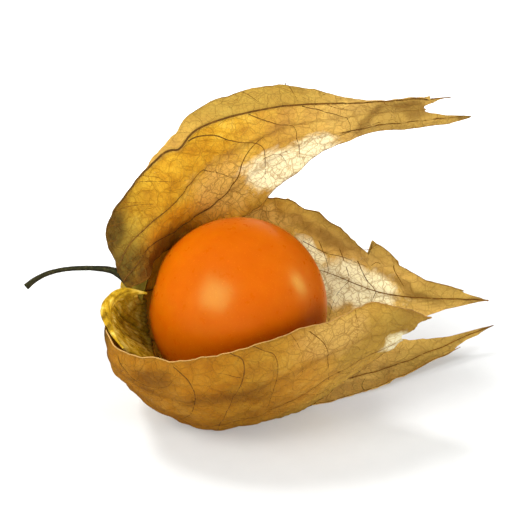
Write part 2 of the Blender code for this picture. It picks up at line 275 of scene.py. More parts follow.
def panel_grid(number):
    """One panel's points by column and row, with each column's place between the ribs."""
    names = PANELS[number]
    rows = np.linspace(0.0, STATIONS - 1.0, (STATIONS - 1) * ROWS + 1)
    before_name, before_until, after_name, after_until = BESIDE[number]
    columns, marks = [], []
    for gap, name in enumerate(names[:-1]):
        for step in range(COLUMNS if gap < len(names) - 2 else COLUMNS + 1):
            share = step / COLUMNS
            scoop = SCOOPS.get(name, 0.0) * 4 * share * (1 - share)
            places = rows - scoop * (rows / (STATIONS - 1.0)) ** 6
            left = rib_curve(name, places)
            right = rib_curve(names[gap + 1], places)
            before, after = 2 * left - right, 2 * right - left
            if gap > 0:
                before = rib_curve(names[gap - 1], places)
            elif before_name:
                joined = 1 - smooth(places, before_until - 1.0, before_until)
                before = before + (rib_curve(before_name, places) - before) * joined[:, None]
            if gap + 2 < len(names):
                after = rib_curve(names[gap + 2], places)
            elif after_name:
                joined = 1 - smooth(places, after_until - 1.0, after_until)
                after = after + (rib_curve(after_name, places) - after) * joined[:, None]
            straight = left + (right - left) * share
            rounded = cubic(before, left, right, after, share)
            along = np.gradient(left + right, axis=0)
            outward = np.cross(along, right - left)
            outward /= np.linalg.norm(outward, axis=1, keepdims=True) + 1e-9
            width = np.linalg.norm(right - left, axis=1)
            swell = np.sin(np.pi * rows / (STATIONS - 1.0)) ** 0.7 * np.minimum(width / 6.0, 1.0)
            swell *= PUFFS.get(name, 1.0) * PUFF * 4 * share * (1 - share)
            columns.append(straight + (rounded - straight) * ROUNDNESS + outward * swell[:, None])
            marks.append(gap + share)
    return np.array(columns), np.array(marks), rows


def fbm(point, size, octaves=4):
    """Layered noise at a point, with features of a given size, from about -1 to 1."""
    return noise.fractal(Vector(point) / size, 1.0, 2.0, octaves)


class Sheet:
    """The husk's sheet: its points, and where each panel's columns and rows are among them."""

    def __init__(self):
        self.grids = [panel_grid(number) for number in range(len(PANELS))]
        self.rows = self.grids[0][2]
        self.points, self.ids = [], []
        for number, (columns, marks, rows) in enumerate(self.grids):
            columns = self.tear(number, columns, rows)
            distance = np.linalg.norm(columns, axis=-1, keepdims=True)
            nearest = BERRY_RADIUS + CLEARANCE + SHEET
            columns = columns * np.maximum(1.0, nearest / distance)
            first = sum(len(part) for part in self.points)
            wide, tall = columns.shape[:2]
            self.points.append(columns.reshape(-1, 3))
            self.ids.append(np.arange(first, first + wide * tall).reshape(wide, tall))
        self.points = np.vstack(self.points)
        for panel, following, joined in JOINS:
            together = self.rows <= joined + 1e-6
            self.ids[following][0, together] = self.ids[panel][-1, together]
        self.faces = self.quads()
        self.normals = self.find_normals()
        self.crumple()
        self.normals = self.find_normals()

    def tear(self, number, columns, rows):
        """Makes the free edges of one panel uneven."""
        first_free, last_free = FREE_FROM[number]
        torn = columns.copy()
        for side, free in ((0, first_free), (-1, last_free)):
            edge = columns[side]
            inner = columns[2] if side == 0 else columns[-3]
            across = edge - inner
            across /= np.linalg.norm(across, axis=1, keepdims=True) + 1e-9
            shift = np.array([
                0.42 * fbm(p, 2.6, 3) + 0.2 * abs(fbm(p + 40.0, 0.9, 3)) for p in edge
            ])
            shift *= smooth(rows, free, free + 0.6)
            away = np.linalg.norm(columns - edge[None], axis=-1)
            torn += across[None] * (shift[None] * np.exp(-away / 1.3))[..., None]
        ends = columns[:, -1] - columns[:, -4]
        ends /= np.linalg.norm(ends, axis=1, keepdims=True) + 1e-9
        reach = np.array([0.5 * fbm(p + 17.0, 1.4, 3) for p in columns[:, -1]])
        away = np.linalg.norm(columns - columns[:, -1:], axis=-1)
        torn += (ends * reach[:, None])[:, None] * np.exp(-away / 1.2)[..., None]
        return torn

    def quads(self):
        """The sheet's quads, as corners in order round each."""
        found = []
        for number, grid in enumerate(self.ids):
            picked = np.arange(len(self.rows) - 1)
            if number == ROOF:
                low, high = ROOF_ROWS
                picked = picked[(self.rows[:-1] >= low) & (self.rows[1:] <= high)]
            for a, b in zip(grid, grid[1:]):
                found.append(np.stack([a[picked], a[picked + 1], b[picked + 1], b[picked]], axis=1))
        return np.vstack(found)

    def find_normals(self):
        """The sheet's outward direction at each point."""
        corners = self.points[self.faces]
        face_normals = np.cross(corners[:, 2] - corners[:, 0], corners[:, 3] - corners[:, 1])
        normals = np.zeros_like(self.points)
        for corner in range(4):
            np.add.at(normals, self.faces[:, corner], face_normals)
        return normals / (np.linalg.norm(normals, axis=1, keepdims=True) + 1e-12)

    def crumple(self):
        """Raises wrinkles, and quilts the sheet between its fine veins."""
        height = np.zeros(len(self.points))
        broad, broad_size = BROAD_WRINKLES
        small, small_size = SMALL_WRINKLES
        quilted, quilt_size, seam = QUILTING
        for number in np.unique(self.faces):
            point = self.points[number]
            near, _ = noise.voronoi(Vector(point) / quilt_size)
            quilt = min((near[1] - near[0]) / seam, 1.0)
            wrinkles = broad * fbm(point, broad_size, 3) + small * fbm(point + 9.0, small_size, 3)
            height[number] = wrinkles + quilted * quilt
        away = np.linalg.norm(self.points, axis=1) - BERRY_RADIUS - CLEARANCE
        height = np.maximum(height, -np.maximum(away - SHEET, 0.0) * 0.7)
        self.points = self.points + self.normals * height[:, None]
        above = self.points[:, 1] * math.cos(LEAN) + self.points[:, 2] * math.sin(LEAN) + FLOOR_BELOW
        self.points[:, 1] += np.maximum(LYING - above, 0.0) / math.cos(LEAN)

    def read(self, panel, across, along):
        """The point and outward direction at a place on a panel: rib gaps across and stations along."""
        grid = self.ids[panel]
        column = np.clip(across * COLUMNS, 0, grid.shape[0] - 1.001)
        row = np.clip(along * ROWS, 0, grid.shape[1] - 1.001)
        a, r = int(column), int(row)
        f, g = column - a, row - r
        corners = (grid[a, r], grid[a + 1, r], grid[a, r + 1], grid[a + 1, r + 1])
        shares = ((1 - f) * (1 - g), f * (1 - g), (1 - f) * g, f * g)
        point = sum(self.points[c] * s for c, s in zip(corners, shares))
        normal = sum(self.normals[c] * s for c, s in zip(corners, shares))
        return point, normal / (np.linalg.norm(normal) + 1e-9)


def mesh_object(name, vertices, faces, material):
    """Makes one smooth mesh object, without the points that no face uses."""
    faces = [tuple(int(c) for c in face) for face in faces]
    used = sorted({corner for face in faces for corner in face})
    index = {old: new for new, old in enumerate(used)}
    mesh = bpy.data.meshes.new(name)
    kept_faces = [tuple(index[c] for c in face) for face in faces]
    mesh.from_pydata([tuple(vertices[old]) for old in used], [], kept_faces)
    mesh.materials.append(material)
    mesh.shade_smooth()
    mesh.update()
    made = bpy.data.objects.new(name, mesh)
    bpy.context.scene.collection.objects.link(made)
    return made, used


def add_attribute(mesh, name, values):
    """Stores one number for each point of a mesh."""
    attribute = mesh.attributes.new(name, "FLOAT", "POINT")
    attribute.data.foreach_set("value", np.asarray(values, dtype=np.float32))


def tube(path, radii, sides, vertices, faces, flat=1.0, ups=None):
    """Adds a closed tube along a path to a list of vertices and faces."""
    path = np.asarray(path, dtype=float)
    first = len(vertices)
    along = np.gradient(path, axis=0)
    along /= np.linalg.norm(along, axis=1, keepdims=True) + 1e-12
    for number, (point, way, radius) in enumerate(zip(path, along, radii)):
        up = np.array((0.0, 0.0, 1.0)) if ups is None else ups[number]
        side = np.cross(way, up)
        side /= np.linalg.norm(side) + 1e-12
        up = np.cross(side, way)
        for step in range(sides):
            turn = 2 * math.pi * step / sides
            vertices.append(point + radius * (math.cos(turn) * side + flat * math.sin(turn) * up))
    for ring in range(len(path) - 1):
        for step in range(sides):
            a = first + ring * sides + step
            b = first + ring * sides + (step + 1) % sides
            faces.append((a, b, b + sides, a + sides))
    last = first + (len(path) - 1) * sides
    faces.append(tuple(range(first + sides - 1, first - 1, -1)))
    faces.append(tuple(range(last, last + sides)))


# ---- materials


class Nodes:
    """A small helper that adds nodes to a material."""

    def __init__(self, name):
        self.material = bpy.data.materials.new(name)
        self.material.use_nodes = True
        self.tree = self.material.node_tree
        self.tree.nodes.clear()
        self.output = self.tree.nodes.new("ShaderNodeOutputMaterial")

    def add(self, kind, settings=None, **inputs):
        made = self.tree.nodes.new(kind)
        for key, value in (settings or {}).items():
            setattr(made, key, value)
        for key, value in inputs.items():
            self.put(made, key, value)
        return made

    def put(self, made, key, value):
        by_number = key[0] == "i" and key[1:].isdigit()
        socket = made.inputs[int(key[1:]) if by_number else key.replace("_", " ")]
        if isinstance(value, bpy.types.NodeSocket):
            self.tree.links.new(value, socket)
        else:
            socket.default_value = value

    def principled(self, specular, **inputs):
        return self.add("ShaderNodeBsdfPrincipled", Specular_IOR_Level=specular, **inputs)

    def millimetres(self):
        coordinates = self.add("ShaderNodeTexCoord").outputs["Object"]
        made = self.add("ShaderNodeVectorMath", {"operation": "SCALE"}, i0=coordinates, Scale=1000.0)
        return made.outputs[0]

    def noise(self, where, scale, detail=4.0, rough=0.55):
        made = self.add("ShaderNodeTexNoise", Vector=where, Scale=scale, Detail=detail, Roughness=rough)
        return made.outputs["Fac"]

    def edges(self, where, scale, width):
        found = self.add("ShaderNodeTexVoronoi", {"feature": "DISTANCE_TO_EDGE"}, Vector=where, Scale=scale)
        return self.range(found.outputs["Distance"], 0.0, width, 1.0, 0.0)

    def range(self, value, low, high, to_low=0.0, to_high=1.0):
        made = self.add("ShaderNodeMapRange", i0=value, i1=low, i2=high, i3=to_low, i4=to_high)
        return made.outputs[0]

    def maths(self, operation, first, second=0.0):
        return self.add("ShaderNodeMath", {"operation": operation}, i0=first, i1=second).outputs[0]

    def times(self, first, second):
        return self.maths("MULTIPLY", first, second)

    def plus(self, first, second):
        return self.maths("ADD", first, second)

    def mix(self, factor, first, second, blend="MIX"):
        made = self.add("ShaderNodeMix", {"data_type": "RGBA", "blend_type": blend})
        self.put(made, "i0", factor)
        self.put(made, "i6", first)
        self.put(made, "i7", second)
        return made.outputs[2]

    def ramp(self, value, stops):
        made = self.add("ShaderNodeValToRGB", i0=value)
        elements = made.color_ramp.elements
        while len(elements) > 1:
            elements.remove(elements[-1])
        elements[0].position, elements[0].color = stops[0][0], (*stops[0][1], 1.0)
        for position, colour in stops[1:]:
            elements.new(position).color = (*colour, 1.0)
        return made.outputs[0]

    def attribute(self, name):
        return self.add("ShaderNodeAttribute", {"attribute_name": name}).outputs["Fac"]

    def bump(self, height, strength, distance, normal=None):
        made = self.add("ShaderNodeBump", Height=height, Strength=strength, Distance=distance)
        if normal is not None:
            self.put(made, "Normal", normal)
        return made.outputs[0]

    def finish(self, shader):
        self.tree.links.new(shader, self.output.inputs["Surface"])
        return self.material


def rgb(red, green, blue):
    """A colour written as the eye sees it, from 0 to 255, as linear light."""
    made = []
    for value in (red, green, blue):
        value /= 255.0
        made.append(value / 12.92 if value <= 0.04045 else ((value + 0.055) / 1.055) ** 2.4)
    return tuple(made)


def rgba(red, green, blue):
    """The same with nothing see-through, as a mix takes it."""
    return (*rgb(red, green, blue), 1.0)


def husk_material():
    """Dry, golden paper with a net of fine veins. Its thin places are made pale by colour, not by light
    coming through: they let less through than the rest.
    """
    n = Nodes("husk_look")
    where = n.millimetres()
    drift = n.add("ShaderNodeTexNoise", Vector=where, Scale=0.55, Detail=2.0).outputs["Color"]
    bend = {"operation": "MULTIPLY_ADD"}
    bent = n.add("ShaderNodeVectorMath", bend, i0=drift, i1=(1.4, 1.4, 1.4), i2=where).outputs[0]
    patches = n.noise(where, 0.13, 3.0)
    mottle = n.noise(where, 0.75, 6.0, 0.65)
    grain = n.noise(where, 6.0, 4.0, 0.6)
    coarse_net = n.edges(bent, 0.62, 0.05)
    fine_net = n.edges(bent, 1.7, 0.07)
    broken = n.times(n.maths("SUBTRACT", n.noise(where, 0.8, 5.0, 0.65), 0.5), 1.3)
    thin = n.range(n.plus(n.attribute("thin"), broken), 0.25, 0.8)
    speckle = n.range(n.noise(where, 1.3, 5.0, 0.7), 0.36, 0.64, 0.66, 1.0)
    dark = n.times(n.attribute("dark"), speckle)
    tone = n.plus(n.times(patches, 0.45), n.times(mottle, 0.55))
    colour = n.ramp(tone, [
        (0.32, rgb(160, 102, 10)),
        (0.44, rgb(200, 144, 26)),
        (0.55, rgb(218, 168, 42)),
        (0.66, rgb(236, 196, 78)),
    ])
    stains = n.range(n.noise(where, 0.3, 5.0, 0.7), 0.5, 0.72, 0.0, 0.5)
    colour = n.mix(stains, colour, rgba(168, 108, 22))
    colour = n.mix(n.times(n.attribute("pale"), 0.6), colour, rgba(230, 196, 116))
    colour = n.mix(n.times(n.attribute("olive"), 0.55), colour, rgba(158, 128, 48))
    veil = n.range(n.plus(n.attribute("veil"), broken), 0.2, 0.9)
    # Paler round the thin places: partly the paper's own colour, partly painted light shining through.
    colour = n.mix(n.times(veil, 0.65), colour, rgba(234, 192, 104))
    # Painted light: thin places near white, standing in for light shining through them.
    colour = n.mix(n.times(thin, 0.92), colour, rgba(253, 244, 200))
    # Orange: painted light reflected from the berry onto the sheet close to it, and on the front lobe that
    # lobe's own warmer colour.
    colour = n.mix(n.times(n.attribute("berry_glow_and_warm_tone"), 0.55), colour, rgba(226, 136, 14))
    colour = n.mix(n.times(n.attribute("satin"), 0.8), colour, rgba(186, 158, 44))
    rust = n.times(n.attribute("rust"), speckle)
    colour = n.mix(rust, colour, (0.5, 0.42, 0.36, 1.0), "MULTIPLY")
    colour = n.mix(n.attribute("shade"), colour, (0.42, 0.4, 0.4, 1.0), "MULTIPLY")
    colour = n.mix(dark, colour, rgba(72, 46, 10))
    # Dark red-brown by the berry at the stem end: painted shade in the narrow gap between sheet and berry.
    colour = n.mix(n.times(n.attribute("deep"), 0.85), colour, rgba(104, 52, 6))
    net = n.maths("MAXIMUM", n.times(coarse_net, 0.45), n.times(fine_net, 0.46))
    open_net = n.maths("MAXIMUM", thin, n.times(veil, 0.8))
    net = n.times(net, n.plus(n.times(open_net, 0.8), 0.6))
    colour = n.mix(net, colour, n.mix(thin, rgba(126, 80, 18), rgba(172, 126, 40)))
    colour = n.mix(n.times(n.attribute("near_rib"), 0.35), colour, rgba(120, 76, 18))
    height = n.plus(n.times(coarse_net, 0.5), n.times(fine_net, 0.25))
    height = n.plus(height, n.times(mottle, 0.9))
    height = n.plus(height, n.times(grain, 0.18))
    normal = n.bump(height, 0.7, 0.0002)
    rough = n.range(mottle, 0.3, 0.7, 0.46, 0.68)
    paper = n.principled(0.16, Base_Color=colour, Roughness=rough, Normal=normal)
    through = n.mix(n.range(thin, 0.0, 1.0, 0.35, 0.0), colour, rgba(240, 196, 84))
    light = n.add("ShaderNodeBsdfTranslucent", Color=through, Normal=normal)
    share = n.range(thin, 0.0, 1.0, 0.3, 0.1)
    mixed = n.add("ShaderNodeMixShader", i0=share, i1=paper.outputs[0], i2=light.outputs[0])
    return n.finish(mixed.outputs[0])


def vein_material():
    """The veins: brown, and darker or paler as each vein's darkness says."""
    n = Nodes("vein_look")
    where = n.millimetres()
    mottle = n.noise(where, 1.6, 4.0)
    dark = n.attribute("dark")
    colour = n.ramp(mottle, [(0.3, rgb(84, 48, 8)), (0.55, rgb(122, 76, 16)), (0.75, rgb(156, 106, 30))])
    colour = n.mix(n.range(dark, 0.0, 1.0), colour, rgba(56, 42, 22))
    colour = n.mix(n.range(dark, 0.0, -1.0), colour, rgba(232, 190, 120))
    normal = n.bump(n.noise(where, 7.0, 3.0), 0.4, 0.00006)
    bark = n.principled(0.08, Base_Color=colour, Roughness=0.6, Normal=normal)
    return n.finish(bark.outputs[0])


def satin_material():
    """Fresher, yellow-green tissue near the stem, with a silky gloss along its strands."""
    n = Nodes("satin_look")
    where = n.millimetres()
    streaks = n.noise(where, 0.9, 4.0)
    colour = n.ramp(streaks, [(0.32, rgb(116, 84, 8)), (0.5, rgb(176, 138, 26)), (0.68, rgb(212, 184, 86))])
    normal = n.bump(n.noise(where, 5.0, 4.0), 0.5, 0.00008)
    strand = n.principled(0.12, Base_Color=colour, Roughness=0.45, Normal=normal)
    return n.finish(strand.outputs[0])


def berry_material():
    """Smooth, ripe orange skin with a satin gloss and faint freckles."""
    n = Nodes("berry_look")
    where = n.millimetres()
    patches = n.noise(where, 0.16, 3.0)
    mottle = n.noise(where, 0.9, 5.0, 0.6)
    freckles = n.noise(where, 5.5, 3.0, 0.5)
    tone = n.plus(n.times(patches, 0.65), n.times(mottle, 0.35))
    colour = n.ramp(tone, [
        (0.30, rgb(170, 76, 0)),
        (0.50, rgb(175, 81, 0)),
        (0.68, rgb(181, 88, 1)),
    ])
    colour = n.mix(n.range(freckles, 0.62, 0.75, 0.0, 0.18), colour, rgba(246, 158, 48))
    normal = n.bump(n.plus(mottle, n.times(freckles, 0.1)), 0.2, 0.00012)
    rough = n.range(mottle, 0.3, 0.7, 0.26, 0.34)
    skin = n.principled(0.14, Base_Color=colour, Roughness=rough, Normal=normal)
    skin.inputs["Subsurface Weight"].default_value = 0.5
    skin.inputs["Subsurface Radius"].default_value = (1.0, 0.4, 0.1)
    skin.inputs["Subsurface Scale"].default_value = 0.005
    return n.finish(skin.outputs[0])


def stem_material():
    """Dry, dark olive bark, greener where it widens to the seat."""
    n = Nodes("stem_look")
    where = n.millimetres()
    streaks = n.noise(where, 2.4, 5.0)
    seat = n.attribute("seat")
    colour = n.ramp(streaks, [(0.3, rgb(24, 19, 12)), (0.55, rgb(44, 38, 24)), (0.75, rgb(72, 63, 38))])
    colour = n.mix(seat, colour, rgba(150, 128, 40))
    normal = n.bump(streaks, 0.6, 0.0001)
    bark = n.principled(0.08, Base_Color=colour, Roughness=0.62, Normal=normal)
    return n.finish(bark.outputs[0])


def floor_material():
    """Pale paper with the faintest grain. It glows, more so away from the fruit, so that it renders white."""
    n = Nodes("floor_look")
    where = n.millimetres()
    grain = n.noise(where, 0.3, 3.0)
    colour = n.ramp(grain, [(0.3, (0.53, 0.54, 0.55)), (0.7, (0.55, 0.56, 0.57))])
    paper = n.principled(0.1, Base_Color=colour, Roughness=0.9)
    paper.inputs["Emission Color"].default_value = (1.0, 1.0, 1.0, 1.0)
    away = n.add("ShaderNodeVectorMath", {"operation": "LENGTH"}, i0=where).outputs["Value"]
    n.put(paper, "Emission Strength", n.range(away, 24.0, 60.0, 0.2, 0.9))
    return n.finish(paper.outputs[0])


# ---- the husk

# Soft-edged ovals on the sheet, each as panel, x, v, radius along x, radius along v, and turn in degrees.
# THIN: places that look thin, near white with a clear net. Their near white is painted light, standing in for
# light shining through a single layer.
THIN = (
    (FLAP, 4.2, 15.7, 4.6, 2.5, 20.0),
    (FLAP, 8.4, 17.4, 4.2, 1.9, 16.0),
    (BACK, 13.2, 2.6, 6.8, 3.2, -14.0),
    (BACK, 8.6, 6.6, 2.8, 1.1, -45.0),
    (FRONT, 17.6, -3.7, 2.6, 1.2, 25.0),
)
# VEIL: paler paper round them. The paleness is partly the paper's own colour and partly painted light shining
# through, weaker than in THIN.
VEIL = (
    (FLAP, -1.2, 13.6, 5.6, 3.4, 38.0),
    (BACK, 3.0, 10.5, 5.0, 1.4, -10.0),
    (FRONT, 10.0, -3.0, 5.0, 2.4, 24.0),
)
# DARK: dried brown places at the base, and the lobes' tips.
DARK = (
    (FLAP, -14.3, 8.0, 6.0, 1.9, 76.0),
    (FLAP, -12.3, 3.8, 3.6, 3.2, 0.0),
    (ROOF, -13.6, 8.0, 2.0, 5.0, 0.0),
    (FRONT, -14.9, -2.6, 1.3, 4.5, 0.0),
    (FLAP, 24.6, 23.7, 1.8, 0.7, 4.0),
    (FLAP, 26.4, 21.7, 2.2, 0.8, 4.0),
    (BACK, 29.6, 0.9, 2.4, 1.0, 0.0),
    (BACK, 30.4, -1.9, 2.4, 0.9, 20.0),
)
# RUST: rust-brown stains.
RUST = (
    (FLAP, 19.4, 22.3, 4.2, 0.7, 6.0),
    (FLAP, 14.6, 21.2, 2.2, 0.5, 48.0),
    (BACK, 9.6, 8.6, 6.5, 0.7, -30.0),
    (BACK, 20.0, 2.6, 5.0, 0.6, -30.0),
    (FRONT, -9.0, -7.6, 2.6, 1.3, -20.0),
    (FRONT, -1.0, -9.6, 5.0, 1.2, 6.0),
)
# OLIVE: dull green places.
OLIVE = (
    (FLAP, 19.5, 21.6, 8.0, 2.6, 4.0),
    (FLAP, -12.0, 7.0, 3.5, 3.5, 4.0),
    (BACK, 24.0, 2.0, 5.0, 2.5, 0.0),
    (BACK, 14.0, 8.6, 9.0, 2.0, -28.0),
    (BACK, 24.0, -5.5, 8.0, 3.0, 18.0),
    (FRONT, 14.0, -3.0, 8.0, 3.0, 20.0),
    (ROOF, 0.0, 23.0, 14.0, 4.0, 8.0),
)
# SATIN: fresher tissue round the stem.
SATIN = (
    (FRONT, -13.0, -0.6, 2.2, 3.2, 0.0),
    (BACK, -12.5, 0.0, 1.6, 5.0, 0.0),
)
OVALS = {"thin": THIN, "dark": DARK, "olive": OLIVE, "satin": SATIN, "veil": VEIL, "rust": RUST}


def blobs(spots, panel, points):
    """How much each point of a panel lies in some soft-edged ovals."""
    most = np.zeros(len(points))
    for where, x, v, wide, tall, degrees in spots:
        if where != panel:
            continue
        turn = math.radians(degrees)
        dx, dv = points[:, 0] - x, points[:, 1] - v
        along = (dx * math.cos(turn) + dv * math.sin(turn)) / wide
        across = (dv * math.cos(turn) - dx * math.sin(turn)) / tall
        away = np.sqrt(along**2 + across**2)
        most = np.maximum(most, 1 - smooth(away, 0.35, 1.3))
    return most


def make_husk(sheet):
    """The sheet itself, closed, with what its material needs to know at each point."""
    count = len(sheet.points)
    half = sheet.normals * (SHEET / 2)
    edge_count = {}
    for face in sheet.faces:
        for a, b in zip(face, np.roll(face, -1)):
            edge_count[(int(a), int(b))] = edge_count.get((int(a), int(b)), 0) + 1
    faces = [tuple(face) for face in sheet.faces]
    faces += [tuple(face[::-1] + count) for face in sheet.faces]
    for a, b in edge_count:
        if (b, a) not in edge_count:
            faces.append((b, a, a + count, b + count))
    vertices = np.vstack([sheet.points + half, sheet.points - half])
    values = {name: np.zeros(count) for name in (*OVALS, "shade", "near_rib")}
    away = np.linalg.norm(sheet.points, axis=1)
    # Orange where the sheet lies close to the berry: painted light reflected from the berry.
    values["berry_glow_and_warm_tone"] = 1 - smooth(away, 11.4, 14.0)
    values["pale"] = smooth(sheet.points[:, 0], -3.0, 14.0)
    # Painted shade: dark red-brown where the sheet near the stem end lies close to the berry, on its upper
    # side.
    values["deep"] = (1 - smooth(away, 10.9, 12.6)) * (1 - smooth(sheet.points[:, 0], -9.0, -5.5))
    values["deep"] *= smooth(sheet.points[:, 1], 0.0, 2.0)
    for number, grid in enumerate(sheet.ids):
        flat = grid.reshape(-1)
        points = sheet.points[flat]
        wobble = np.array([fbm(p, 3.0, 2) for p in points])[:, None] * 0.8
        for name, spots in OVALS.items():
            values[name][flat] = np.maximum(values[name][flat], blobs(spots, number, points + wobble))
        if number == FRONT:
            # On the front lobe the same orange is the lobe's own warmer colour.
            values["berry_glow_and_warm_tone"][flat] = np.maximum(values["berry_glow_and_warm_tone"][flat], 1 - smooth(points[:, 0], -6.0, 8.0))
            values["pale"][flat] *= 0.5
            lit = 0.75 - 0.4 * smooth(points[:, 0], 2.0, 12.0)
            values["shade"][flat] = lit + 0.32 * smooth(points[:, 0], 14.0, 19.0)
        if number == ROOF:
            values["pale"][flat] = np.maximum(values["pale"][flat], 0.6)
        if number == FLAP:
            values["shade"][flat] = 0.8 * (1 - smooth(points[:, 0], -14.0, -7.5))
        marks = sheet.grids[number][1]
        to_rib = np.abs(marks - np.round(marks))
        beside = np.exp(-((to_rib / 0.07) ** 2))
        values["near_rib"][flat] = np.maximum(values["near_rib"][flat], np.repeat(beside, grid.shape[1]))
    made, used = mesh_object("husk_sheet", place(vertices), faces, husk_material())
    low = made.data
    corners = np.zeros(len(low.vertices) * 3)
    low.vertices.foreach_get("co", corners)
    corners = corners.reshape(-1, 3)
    corners[:, 2] = np.maximum(corners[:, 2], 0.0)
    low.vertices.foreach_set("co", corners.reshape(-1))
    low.update()
    for name, value in values.items():
        add_attribute(low, name, np.concatenate([value, value])[used])
    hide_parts("husk")
    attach(made, "root")


def vein_path(sheet, panel, spots, fineness=7):
    """The points and outward directions of a vein through places on a panel."""
    spots = np.array(spots, dtype=float)
    steps = np.linspace(0, len(spots) - 1, (len(spots) - 1) * fineness + 1)
    curve = catmull_rom(spots, steps)
    found = [sheet.read(panel, across, along) for across, along in curve]
    return np.array([p for p, _ in found]), np.array([d for _, d in found])


# Each rib that shows as a vein: panel, place among its panel's ribs, first and last station, radius, and
# darkness, where less than 0 is paler.
MAIN_VEINS = (
    (FLAP, 0, 0.3, 8.0, 0.07, 0.2),
    (FLAP, 1, 0.3, 4.3, 0.13, 0.5),
    (FLAP, 1, 6.8, 8.0, 0.09, 0.5),
    (FLAP, 2, 0.3, 4.9, 0.13, 0.5),
    (FLAP, 3, 0.3, 8.0, 0.16, 0.7),
    (ROOF, 1, 4.6, 7.6, 0.07, 0.3),
    (BACK, 0, 3.6, 8.0, 0.07, 0.2),
    (BACK, 1, 0.5, 4.8, 0.12, 0.2),
    (BACK, 1, 8.0, 5.9, 0.1, 0.35),
    (BACK, 2, 0.5, 7.9, 0.1, 0.2),
    (BACK, 3, 0.5, 8.0, 0.14, 0.3),
    (BACK, 4, 0.5, 8.0, 0.08, 0.2),
    (FRONT, 0, 6.0, 8.0, 0.07, 0.2),
    (FRONT, 1, 0.5, 7.9, 0.1, 0.2),
    (FRONT, 3, 2.2, 8.0, 0.08, -0.4),
)
# Veins that stand out: panel, radius at the start, darkness, and places by rib gaps across and stations
# along.
BOLD_VEINS = (
    (FRONT, 0.075, 0.3, ((2.75, 2.85), (2.4, 3.1), (2.2, 3.4), (2.4, 3.7), (2.75, 3.85))),
    (FRONT, 0.08, 0.35, ((2.9, 3.8), (2.65, 4.0), (2.3, 4.1), (1.8, 4.05), (1.2, 3.85), (0.5, 3.75))),
    (FRONT, 0.085, 0.4, ((3.0, 4.65), (2.75, 4.85), (2.3, 4.82), (1.9, 4.65), (1.4, 4.5), (0.6, 4.4))),
    (FRONT, 0.05, 0.2, ((2.45, 4.8), (2.6, 4.6), (2.7, 4.42), (2.85, 4.3))),
    (FRONT, 0.075, 0.35, ((3.0, 5.0), (2.85, 5.15), (2.65, 5.35), (2.1, 5.4), (1.6, 5.3), (1.0, 5.2))),
    (FRONT, 0.07, 0.3, ((2.9, 5.9), (2.6, 6.1), (2.2, 6.25), (1.6, 6.35), (0.8, 6.45))),
    (FRONT, 0.045, 0.2, ((3.0, 5.6), (2.6, 5.75), (2.1, 5.85), (1.5, 5.8))),
    (FRONT, 0.045, 0.2, ((3.0, 6.6), (2.5, 6.75), (1.9, 6.8), (1.3, 6.7))),
    (
        FLAP, 0.09, 0.5,
        ((2.95, 4.6), (2.7, 5.1), (2.4, 5.35), (2.05, 5.6), (1.7, 5.75), (1.2, 5.7), (0.5, 5.55)),
    ),
    (FLAP, 0.06, 0.4, ((1.3, 5.68), (1.12, 5.85), (0.85, 6.1))),
    (FLAP, 0.045, 0.3, ((1.1, 5.88), (0.6, 5.92), (0.15, 5.85))),
    (FLAP, 0.07, 0.45, ((2.95, 5.6), (2.4, 5.95), (1.9, 6.2), (1.3, 6.2), (0.6, 6.15), (0.15, 6.15))),
    (FLAP, 0.07, 0.45, ((2.0, 4.9), (1.7, 5.1), (1.3, 5.25))),
    (
        FLAP, 0.12, 0.5,
        ((1.0, 4.2), (0.98, 4.7), (1.05, 5.0), (1.3, 5.3), (1.6, 5.45), (1.85, 5.65), (2.0, 5.8)),
    ),
    (FLAP, 0.05, 0.3, ((2.95, 3.35), (2.5, 3.9), (2.15, 4.5))),
    (FLAP, 0.05, 0.3, ((2.95, 2.6), (2.5, 3.2), (2.1, 3.7))),
    (FLAP, 0.07, 0.5, ((2.95, 6.3), (2.6, 6.6), (2.1, 6.8), (1.5, 6.95), (0.9, 6.9))),
    (FLAP, 0.05, 0.4, ((0.8, 6.75), (1.1, 7.05), (1.3, 7.4), (1.65, 7.8))),
    (ROOF, 0.06, 0.4, ((0.95, 5.5), (0.5, 5.65), (0.1, 5.8))),
    (ROOF, 0.06, 0.4, ((0.95, 6.05), (0.5, 6.15), (0.1, 6.25))),
    (BACK, 0.07, 0.3, ((0.45, 6.65), (0.8, 6.75), (1.1, 6.9), (1.5, 7.1))),
    (BACK, 0.07, 0.3, ((0.2, 7.1), (0.5, 7.2), (0.8, 7.25))),
    (BACK, 0.06, 0.35, ((0.6, 5.85), (0.68, 6.2), (0.55, 6.55), (0.4, 6.95))),
    (BACK, 0.06, 0.3, ((3.95, 6.95), (3.5, 6.85), (3.1, 6.75))),
    (BACK, 0.05, 0.2, ((0.5, 6.1), (0.9, 6.2), (1.35, 6.15), (1.8, 6.3))),
    (BACK, 0.05, 0.2, ((0.45, 6.4), (0.9, 6.5), (1.3, 6.45), (1.8, 6.55))),
)
# Side veins leave a rib towards one side: panel, rib, side, first and last station.
SIDE_VEINS = (
    (FLAP, 3, -1, 1.6, 4.0),
    (FLAP, 3, -1, 6.6, 7.5),
    (ROOF, 1, -1, 5.0, 7.2),
    (ROOF, 1, 1, 1.5, 7.0),
    (BACK, 1, -1, 1.6, 7.3),
    (BACK, 1, 1, 1.6, 7.2),
    (BACK, 3, -1, 1.6, 7.2),
    (BACK, 3, 1, 1.6, 7.4),
    (FRONT, 1, -1, 1.8, 7.0),
)

# How far a vein's middle stands off the sheet's, and how many sides a vein has.
VEIN_RAISED = 0.06
VEIN_SIDES = 5
# A side vein's and its branches' radii, at the start and at the end.
SIDE_RADII = (0.046, 0.02)
BRANCH_RADII = (0.028, 0.014)
# The fine hair on the flap's upper edge.
HAIR_PATH = ((5.3, 24.2, -1.2), (5.25, 24.8, -1.2), (5.4, 25.35, -1.1))


